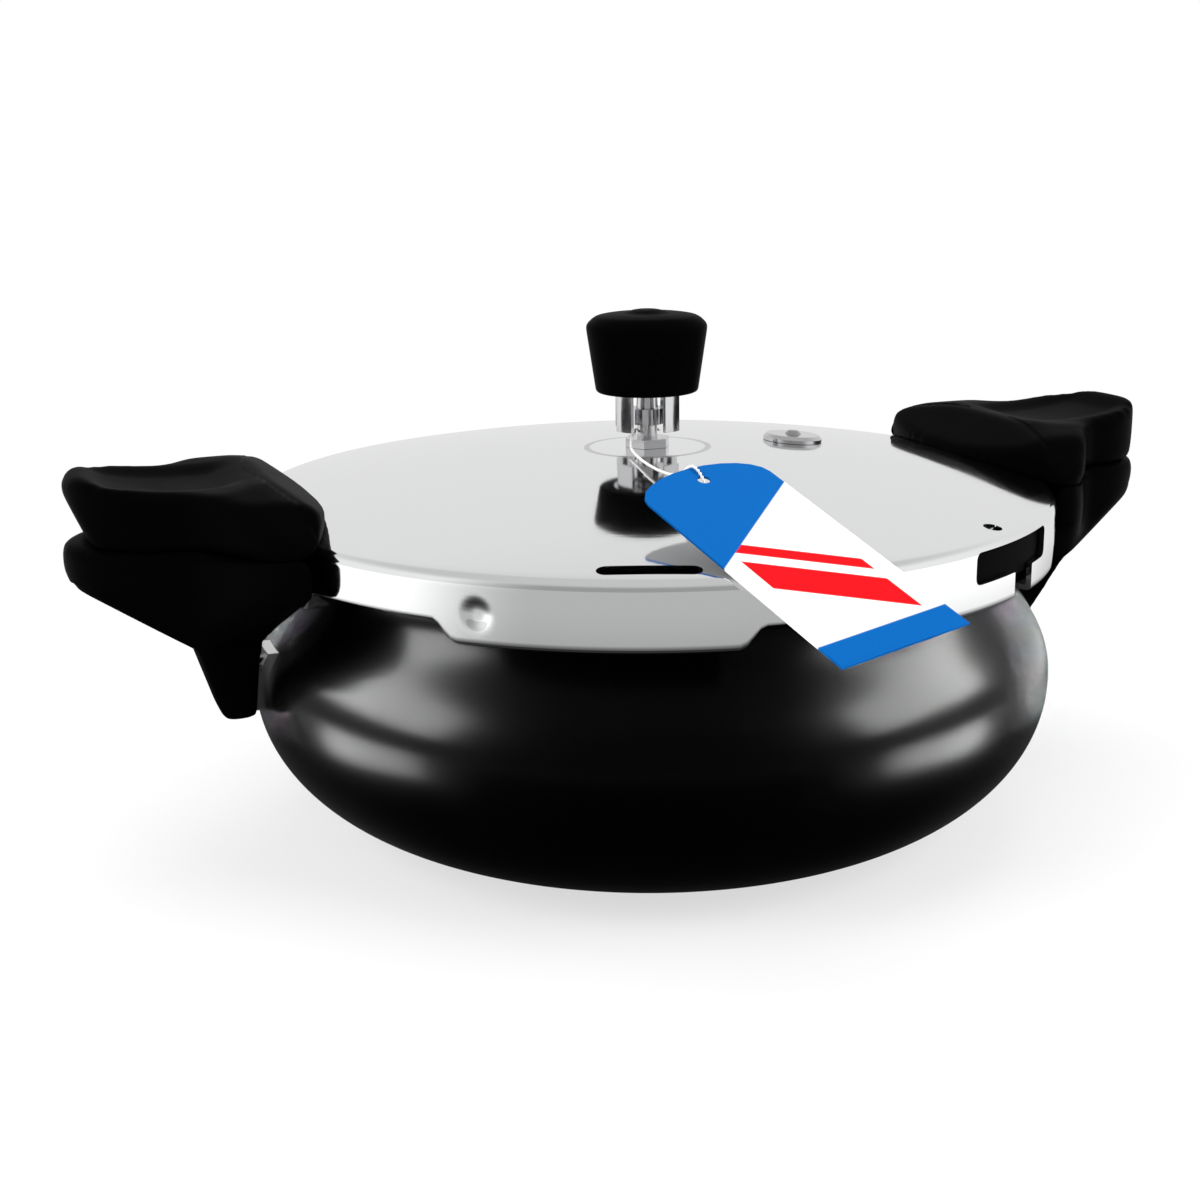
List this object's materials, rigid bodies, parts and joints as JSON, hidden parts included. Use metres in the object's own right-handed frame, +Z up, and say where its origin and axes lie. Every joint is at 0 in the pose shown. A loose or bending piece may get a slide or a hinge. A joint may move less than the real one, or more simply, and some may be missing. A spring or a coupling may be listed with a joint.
{
  "type": "stovetop pressure cooker",
  "caption": "Wide, low stovetop pressure cooker with a belly-shaped pot, a bayonet lid that locks by turning, ear handles on pot and lid, a vent tube with a weight valve and a safety plug.",
  "frame": {"origin": "centre of the pot's flat base, on the resting plane", "axes": "+X along the right-hand handles, +Z up along the pot's and lid's common axis, +Y away from the viewer"},
  "size_m": [0.336, 0.2704, 0.1485],
  "materials": {
    "anodised_pot": "glossy black hard-anodised aluminium",
    "polished_aluminium": "polished",
    "rivet_aluminium": "satin",
    "bakelite": "glossy black moulded phenolic",
    "steel": "satin stainless steel",
    "brass": "turned",
    "gasket_rubber": "matt",
    "tag_card": "printed card, coated",
    "tag_thread": "white cotton thread"
  },
  "bodies": {
    "pot": {"pot_body": "anodised_pot", "pot_bracket_right": "steel", "pot_bracket_left": "steel", "bracket_rivets_right": "rivet_aluminium", "bracket_rivets_left": "rivet_aluminium", "pot_handle_right": "bakelite", "pot_handle_left": "bakelite", "pot_handle_screw_right": "steel", "pot_handle_screw_left": "steel"},
    "lid": {"lid_shell": "polished_aluminium", "lid_bracket_right": "steel", "lid_bracket_left": "steel", "lid_handle_right": "bakelite", "lid_handle_left": "bakelite", "lid_handle_screws_right": "steel", "lid_handle_screws_left": "steel", "gasket": "gasket_rubber", "vent_tube": "steel", "vent_washer": "steel", "vent_nut": "steel", "safety_plug": "steel", "fusible_core": "brass", "plug_washer": "steel", "plug_nut": "steel", "tag_card": "tag_card", "tag_thread": "tag_thread"},
    "weight": {"weight_knob": "bakelite", "weight_sleeve": "steel", "weight_core": "brass"}
  },
  "joints": [
    {"name": "lid_turn", "type": "hinge", "parent": "pot", "child": "lid", "pos_m": [0, 0, 0], "axis": [0, 0, 1], "range_deg": [-30, 0]},
    {"name": "weight_lift", "type": "slide", "parent": "lid", "child": "weight", "axis": [0, 0, 1], "range_m": [0, 0.03]}
  ]
}
